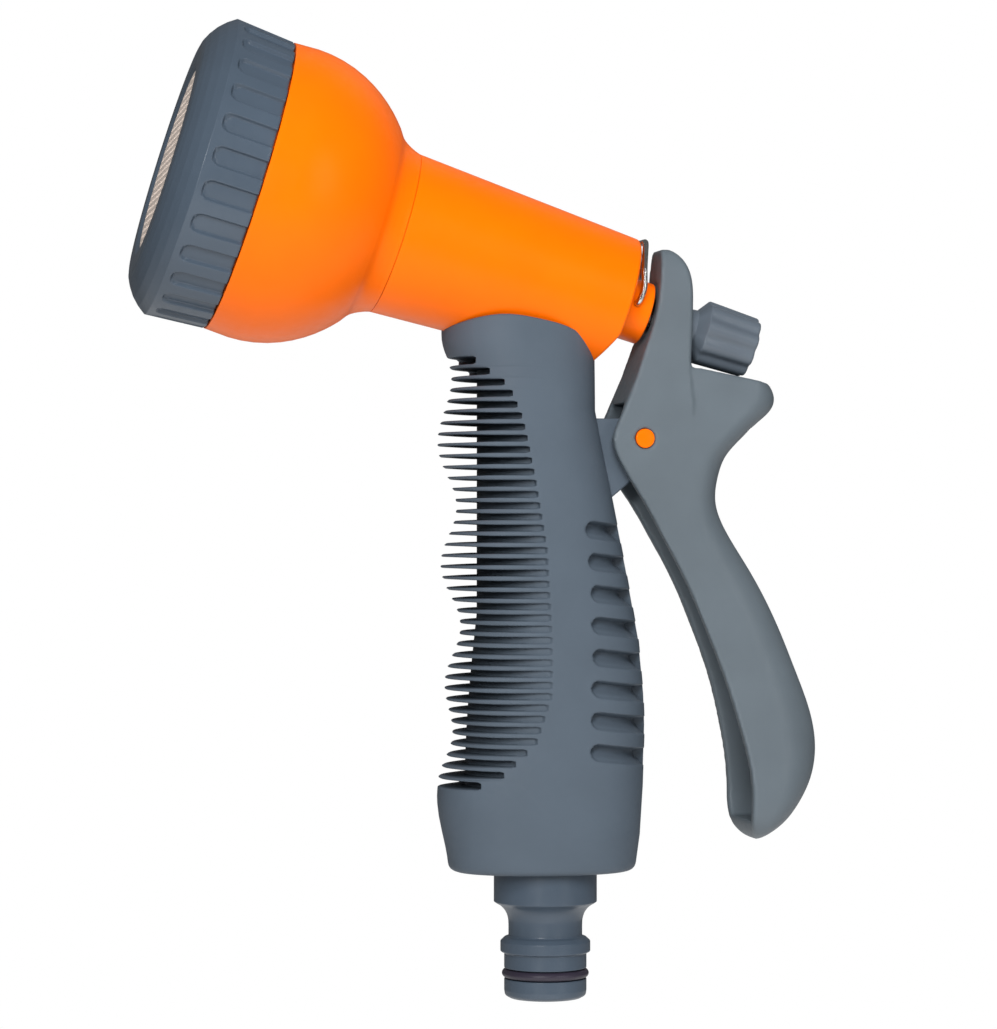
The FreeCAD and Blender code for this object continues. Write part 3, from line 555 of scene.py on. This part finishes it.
def outline_point(z, angle, inset=0.0):
    """Point of the near or far half outline at an angle from the front; y is positive."""
    front, rear, half, centre = grip_outline(z)
    c, s = -math.cos(angle), math.sin(angle)
    reach = (rear - centre if c > 0 else centre - front) - inset
    x = centre + reach * math.copysign(abs(c) ** GRIP_FULLNESS, c)
    return x, (half - inset) * abs(s) ** GRIP_FULLNESS


def groove_floor(x, y, z):
    """Where the groove's floor lies for an outer point (x, y): the grip's oval core, seen from its centre."""
    end_step, swell, swell_top_z, swell_height = 0.4, 2.4, 76, 34
    half = interpolate(REAR_EDGE, z)[1] - end_step
    core_front = GRIP_CORE_FRONT
    if z <= swell_top_z:
        core_front -= swell * math.sin((swell_top_z - z) / swell_height * math.pi / 2)
    long_half = GRIP_CORE_CENTRE - core_front
    reach = math.hypot((x - GRIP_CORE_CENTRE) / long_half, y / half)
    scale = min(1.0, 1 / reach)
    return GRIP_CORE_CENTRE + (x - GRIP_CORE_CENTRE) * scale, y * scale


def groove_rows():
    """Rows of the grip, bottom to top: (z, offset from a groove's centre, share of its depth, set-back)."""
    half = FIN_GAP / 2
    # offset from the groove's centre, share of the groove's depth, set-back of the fin's rounded edge
    across = [(-half - 0.27, 0, 0.0), (-half - 0.12, 0, 0.06), (-half - 0.02, 0, 0.24), (-half + 0.04, 1, 0),
              (-half + 0.2, 1, 0), (half - 0.2, 1, 0), (half - 0.04, 1, 0), (half + 0.02, 0, 0.24),
              (half + 0.12, 0, 0.06), (half + 0.27, 0, 0.0)]
    rows = [(z, PLAIN_ROW, 0, 0.0) for z in (26.9, 28, 30, 33, 36, 38.5, 40, 41, 41.6)]
    for i in range(FIN_COUNT):
        centre = FIN_BOTTOM_Z + half + 0.15 + i * FIN_PITCH
        rows += [(centre + u, u, share, back) for u, share, back in across]
    return rows


def grip_columns():
    """Column places from the front to the rear: (zone, share through the zone)."""
    front = [1 - (1 - t / 44) ** 1.35 for t in range(44)]
    plain = [t / 14 for t in range(14)]
    rear = [(t / 46) ** 1.15 for t in range(47)]
    return [(0, t) for t in front] + [(1, t) for t in plain] + [(2, t) for t in rear]


def grip_half_row(row, columns, rear_z):
    """Points of one row on the y > 0 side, from the front to the rear."""
    z, u, share, back = row
    half_gap = FIN_GAP / 2
    by_groove = u != PLAIN_ROW
    end_x = interpolate(GROOVE_END, z - (u if by_groove else 0))[0]
    pocket_x = POCKET_FRONT_X + min(POCKET_SHIFT) - 0.5
    angle_end = side_angle(z, end_x)
    angle_pocket = side_angle(z, pocket_x)
    points = []
    for zone, t in columns:
        if zone == 0:
            angle, rise = angle_end * t, 0.0
        elif zone == 1:
            angle, rise = angle_end + (angle_pocket - angle_end) * t, smoothstep(0.1, 1, t)
        else:
            angle, rise = angle_pocket + (math.pi - angle_pocket) * t, 1.0
        height = z + (rear_z - z) * rise
        x, y = outline_point(height, angle)
        if zone == 2:
            # The rows slant with the pockets and level out below and above them.
            lift = math.tan(POCKET_TILT) * max(0.0, x - POCKET_FRONT_X)
            tilt = smoothstep(42, 46, height) * (1 - smoothstep(97, 101, height))
            height -= lift * tilt
            x, y = outline_point(height, angle)
            depth = pocket_depth(x, y, height + lift * tilt)
            if depth > 0:
                x, y = outline_point(height, angle, depth)
        elif zone == 0 and by_groove:
            if share == 0:
                height += math.copysign(FIN_TAPER * (1 - smoothstep(FIN_TIP_X, GRIP_CORE_FRONT + 2, x)), u)
            round_end = half_gap - math.sqrt(max(0.0, half_gap ** 2 - min(abs(u), half_gap) ** 2))
            open_share = 1 - smoothstep(end_x - round_end - 0.45, end_x - round_end - 0.1, x)
            floor_x, floor_y = groove_floor(x, y, height)
            depth = math.hypot(x - floor_x, y - floor_y)
            sink = max(share * depth, min(back, depth)) * open_share
            if depth > 1e-6:
                x += (floor_x - x) * sink / depth
                y += (floor_y - y) * sink / depth
        points.append((x, y, height))
    return points


def pocket_depth(x, y, z):
    """Depth of the round-ended pockets on the rear corners; z is measured along their slant."""
    index = round((POCKET_TOP_Z - z) / POCKET_PITCH)
    if not 0 <= index < POCKET_COUNT or y < POCKET_SPINE_Y[0]:
        return 0.0
    off = z - (POCKET_TOP_Z - index * POCKET_PITCH)
    distance = math.hypot(max(0.0, POCKET_FRONT_X + POCKET_SHIFT[index] + POCKET_R - x), off)
    side = 1 - smoothstep(POCKET_R - 0.3, POCKET_R + 0.12, distance)
    slope = 0.3 + 0.7 * smoothstep(-POCKET_R, 0.5 * POCKET_R, off)
    return POCKET_DEPTH * slope * side * smoothstep(*POCKET_SPINE_Y, y)


def grip_piece():
    """Moulded grip: finger fins in front, round-ended pockets behind, plain skirt and saddle top."""
    nipple_way_r, nipple_way_top_z = 10.3, 37.0
    columns = grip_columns()
    rows = groove_rows()
    low, high = rows[0][0], rows[-1][0]
    halves = []
    for i, row in enumerate(rows):
        rear_z = low + (high - low) * i / (len(rows) - 1)
        halves.append(grip_half_row(row, columns, rear_z))
    # Up to the saddle, then a rounded edge and a ledge that runs in under the barrel.
    saddle = spline(SADDLE, 8)
    top = halves[-1]
    for t in (0.2, 0.4, 0.6, 0.8, 0.93):
        halves.append([raise_to_saddle(p, saddle, t, 0.0) for p in top])
    for t, inset in ((0.98, 0.08), (1.0, 0.3), (1.0, 1.2), (0.97, 4.5)):
        halves.append([raise_to_saddle(p, saddle, t, inset) for p in top])
    # Down the skirt to its rounded bottom edge and in to the nipple.
    bottom = []
    for lift, inset in ((1.15, 0.06), (0.75, 0.2), (0.42, 0.45), (0.18, 0.82), (0.04, 1.25), (0, 1.7)):
        z = GRIP_BOTTOM_Z + lift
        angles = [side_angle(rows[0][0], x) for x, y, _ in halves[0]]
        bottom.append([outline_point(z, a, inset) + (z,) for a in angles])
    hole = [(nipple_way_r * x / math.hypot(x, y), nipple_way_r * y / math.hypot(x, y))
            for x, y, _ in bottom[-1]]
    bottom.append([(x * 1.02, y * 1.02, GRIP_BOTTOM_Z) for x, y in hole])
    bottom.append([(x, y, GRIP_BOTTOM_Z + 0.2) for x, y in hole])
    bottom.append([(x, y, nipple_way_top_z) for x, y in hole])
    halves = bottom[::-1] + halves
    loops = []
    for half in halves:
        loops.append(half + [(x, -y, z) for x, y, z in half[-2:0:-1]])
    points = [p for loop in loops for p in loop]
    return make_piece("grip_with_fins", points, skin(loops), "nozzle_body", "grip_grey", ["grip_sleeve"])


def raise_to_saddle(point, saddle, share, inset):
    """Moves a point of the last full row up towards the saddle edge above it, and inward by inset."""
    x, y, z = point
    top_z = float(np.interp(x, [p[0] for p in saddle], [p[1] for p in saddle]))
    height = z + (top_z - z) * share
    angle = side_angle(z, x)
    px, py = outline_point(height, angle, inset)
    return px, py, height


def lug_piece():
    """Lug on the grip's rear that carries the lever's pin."""
    half_width = 5.0
    outline = rounded([(6, 114.5, 0), (PIVOT_X, 114.5, 0), (22.3, 114.5, 3.6), (22.3, 108.5, 2.6),
                       (15.5, 101.4, 1.2), (12.1, 98.6, 1.0), (6, 97.5, 0)], 6)
    points, faces = [], []
    layers = [(-half_width, 0.5), (-half_width + 0.15, 0.15), (-half_width + 0.5, 0.0), (half_width - 0.5, 0.0),
              (half_width - 0.15, 0.15), (half_width, 0.5)]
    centre = np.array([13.0, 107.5])  # the edges are rounded by shrinking the outline towards this point
    count = len(outline)
    for y, inset in layers:
        for x, z in outline:
            off = np.array([x, z]) - centre
            shrunk = centre + off * (1 - inset / np.linalg.norm(off))
            points.append((shrunk[0], y, shrunk[1]))
    for j in range(len(layers) - 1):
        for i in range(count):
            k = (i + 1) % count
            faces.append((j * count + i, j * count + k, (j + 1) * count + k, (j + 1) * count + i))
    faces.append(tuple(range(count)))
    faces.append(tuple((len(layers) - 1) * count + i for i in range(count))[::-1])
    return make_piece("lever_lug", points, faces, "nozzle_body", "grip_grey")


# ---------------------------------------------------------------- trigger lever
def lever_piece():
    """The CAD lever, remeshed finely and smoothed so that every moulded edge is softly rounded."""
    mesh = frame["nodes"]["trigger_lever"].data.copy()
    bm = bmesh.new()
    bm.from_mesh(mesh)
    bmesh.ops.remove_doubles(bm, verts=bm.verts, dist=1e-6)
    bm.to_mesh(mesh)
    bm.free()
    piece = bpy.data.objects.new("squeeze_lever", mesh)
    bpy.context.scene.collection.objects.link(piece)
    remesh = piece.modifiers.new("remesh", "REMESH")
    remesh.mode = "VOXEL"
    remesh.voxel_size = 0.4 * MM
    remesh.use_smooth_shade = True
    smooth = piece.modifiers.new("soften", "SMOOTH")
    smooth.factor = 0.5
    smooth.iterations = 6
    keep_modified_mesh(piece)
    piece.data.polygons.foreach_set("use_smooth", [True] * len(piece.data.polygons))
    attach(piece, "trigger")
    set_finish(piece, "lever_grey")
    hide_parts("trigger_lever")
    return piece


def pin_piece():
    """Pivot pin with softly domed ends."""
    half = 8.95
    outline = rounded([(0, -half, 0), (PIVOT_R, -half + 0.05, 0.35), (PIVOT_R, half - 0.05, 0.35),
                       (0, half, 0)])
    points, faces = lathe(lambda angle: outline, even_angles(48),
                          lambda a, b, s: np.array([PIVOT_X + a, s, PIVOT_Z + b]))
    return make_piece("pin", points, faces, "nozzle_body", "bell_orange", ["pivot_pin"])


# ---------------------------------------------------------------- nipple
def nipple_piece():
    """Quick-connect nipple: nose, O-ring groove, flange, neck with a hollow curve, collar."""
    flare = [(7.3, 14.4), (7.4, 15.7), (7.85, 17.0), (8.75, 18.1), (9.95, 18.85)]
    collar_r, socket_r, top_z = 10.2, 8.0, 38.0
    lower = rounded([(NIPPLE_BORE_R, 0, 0), (7.0, 0, 0.6), (8.0, 0.55, 0.8), (8.15, 1.6, 0.4),
                     (8.15, 3.85, 0.18), (6.9, 3.9, 0.15), (6.9, 5.9, 0.15), (8.15, 5.95, 0.18),
                     (8.15, 8.85, 0.15), (8.9, 9.2, 0.3), (8.9, 11.25, 0.35), (8.1, 12.0, 0.35),
                     (7.3, 12.25, 0.45), flare[0] + (0,)])
    upper = rounded([flare[-1] + (0,), (collar_r, 19.05, 0.15), (collar_r, top_z, 0.2),
                     (socket_r, top_z, 0.1), (socket_r, PIPE_SOCKET_Z, 0.1),
                     (NIPPLE_BORE_R, PIPE_SOCKET_Z, 0.1), (NIPPLE_BORE_R, 0, 0)])
    path = lower + spline(flare, 5)[1:-1] + upper
    points, faces = lathe(lambda angle: path, even_angles(128), upright)
    return make_piece("nipple_body", points, faces, "nozzle_body", "ring_grey", ["hose_nipple"])


# ---------------------------------------------------------------- studio
def add_camera():
    """Level camera a little towards the spraying side, with a long lens; places in metres."""
    data = bpy.data.cameras.new("camera")
    data.lens = 123.7
    data.sensor_width = 36.0
    data.clip_start = 0.01
    camera = bpy.data.objects.new("camera", data)
    camera.location = (-0.14027, -0.68587, 0.09554)
    camera.rotation_euler = (math.radians(90), 0, -math.radians(CAMERA_YAW))
    bpy.context.scene.collection.objects.link(camera)
    bpy.context.scene.camera = camera


def add_softbox(name, azimuth, elevation, distance, size, watts, glossy=True):
    """Area light aimed at the object; azimuth 0 is the camera's side and grows to the right, in degrees."""
    middle = Vector((0, 0, 0.095))    # half the object's height
    turn = math.radians(azimuth - CAMERA_YAW)
    rise = math.radians(elevation)
    away = Vector((math.sin(turn) * math.cos(rise), -math.cos(turn) * math.cos(rise), math.sin(rise)))
    data = bpy.data.lights.new(name, "AREA")
    data.shape = "RECTANGLE"
    data.size, data.size_y = size
    data.energy = watts
    light = bpy.data.objects.new(name, data)
    light.location = middle + away * distance
    light.rotation_euler = (-away).to_track_quat("-Z", "Y").to_euler()
    light.visible_glossy = glossy
    bpy.context.scene.collection.objects.link(light)


def add_world(light_strength):
    """White backdrop to the camera, weaker white light to the object."""
    world = bpy.data.worlds.new("studio")
    world.use_nodes = True
    tree = world.node_tree
    background = tree.nodes["Background"]
    path = tree.nodes.new("ShaderNodeLightPath")
    strength = tree.nodes.new("ShaderNodeMapRange")
    strength.inputs["To Min"].default_value = light_strength
    strength.inputs["To Max"].default_value = 1.0
    tree.links.new(path.outputs["Is Camera Ray"], strength.inputs["Value"])
    tree.links.new(strength.outputs["Result"], background.inputs["Strength"])
    background.inputs["Color"].default_value = (1, 1, 1, 1)
    bpy.context.scene.world = world


def add_floor():
    """Round pale floor well below the object, which throws some light back up; in metres."""
    radius, height, sides = 1.9, -0.32, 96
    mesh = bpy.data.meshes.new("floor")
    ring = [(radius * math.cos(a), radius * math.sin(a), height) for a in even_angles(sides)]
    mesh.from_pydata(ring, [], [tuple(range(sides))])
    floor = bpy.data.objects.new("floor", mesh)
    bpy.context.scene.collection.objects.link(floor)
    material, tree, shader = new_material("floor_paint")
    tree.links.new(varied_colour(tree, noise(tree, 3), (0.86, 0.86, 0.86), 0.01), shader.inputs["Base Color"])
    shader.inputs["Roughness"].default_value = 0.8
    shader.inputs["Emission Color"].default_value = (1, 1, 1, 1)
    shader.inputs["Emission Strength"].default_value = 0.22
    mesh.materials.append(material)


def build():
    """Makes every new piece, then gives the CAD nodes that stay visible their material."""
    materials = make_materials()
    slot_of = {part["node"]: part["material_slot"] for part in frame["record"]["subparts"]}
    makers = [ring_piece, plate_piece, bell_piece, barrel_piece, spring_piece, knob_piece, grip_piece,
              lug_piece, lever_piece, pin_piece, nipple_piece]
    for make in makers:
        piece = make()
        paint(piece, materials.get(piece.name, materials[piece["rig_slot"]]))
    for name, node in frame["nodes"].items():
        if not node.hide_render:
            paint(node, materials[slot_of[name]])


add_camera()
add_world(0.12)
add_floor()
add_softbox("fill", 4, 26, 1.1, (0.4, 0.4), 10.0, glossy=False)
add_softbox("top", 0, 58, 0.5, (0.3, 0.3), 0.8, glossy=False)
add_softbox("key", -15, 12, 1.1, (0.16, 0.2), 3.8)
add_softbox("side", 44, 10, 1.1, (0.10, 0.5), 1.3)
add_softbox("under", 0, -35, 1.2, (0.6, 0.4), 0.9)
add_softbox("back", 160, 35, 1.3, (0.7, 0.7), 7.0, glossy=False)
build()
bpy.context.scene.view_settings.view_transform = "Standard"
